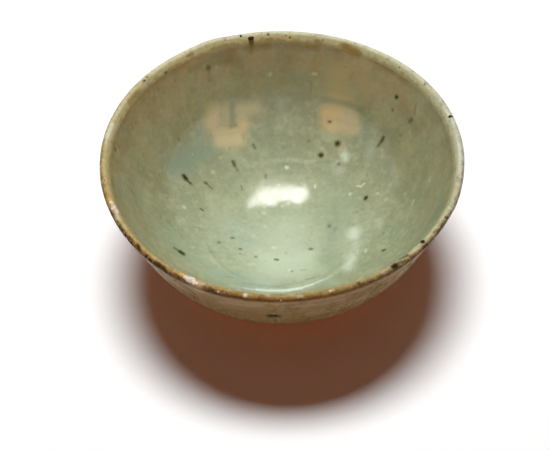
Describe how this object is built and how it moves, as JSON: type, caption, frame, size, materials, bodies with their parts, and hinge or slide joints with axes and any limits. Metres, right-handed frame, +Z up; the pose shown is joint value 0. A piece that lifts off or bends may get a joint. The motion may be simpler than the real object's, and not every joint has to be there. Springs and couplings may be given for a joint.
{
  "type": "ceramic bowl",
  "caption": "Round wheel-thrown stoneware bowl with a foot ring, a flared wall, a celadon glaze inside and an iron-brown lip.",
  "frame": {"origin": "middle of the flat underside of the foot ring, which is the bottom of the bowl", "axes": "+Z up along the bowl's axis, through the mouth; -Y is the front, the side nearest the viewer, with the larger grit lump on its lip left of the middle; +X is to the right"},
  "size_m": [0.14, 0.1393, 0.0625],
  "materials": {
    "bare_clay": "matte",
    "celadon_glaze": "gloss",
    "olive_glaze": "gloss",
    "iron_lip_glaze": "satin",
    "kiln_grit": "satin"
  },
  "bodies": {
    "root": {"clay_body": "bare_clay", "foot_ring": "bare_clay", "inner_glaze": "celadon_glaze", "outer_glaze": "olive_glaze", "lip_glaze": "iron_lip_glaze", "foot_well_glaze": "olive_glaze", "kiln_grit_front": "kiln_grit", "kiln_grit_side": "kiln_grit"}
  },
  "joints": []
}
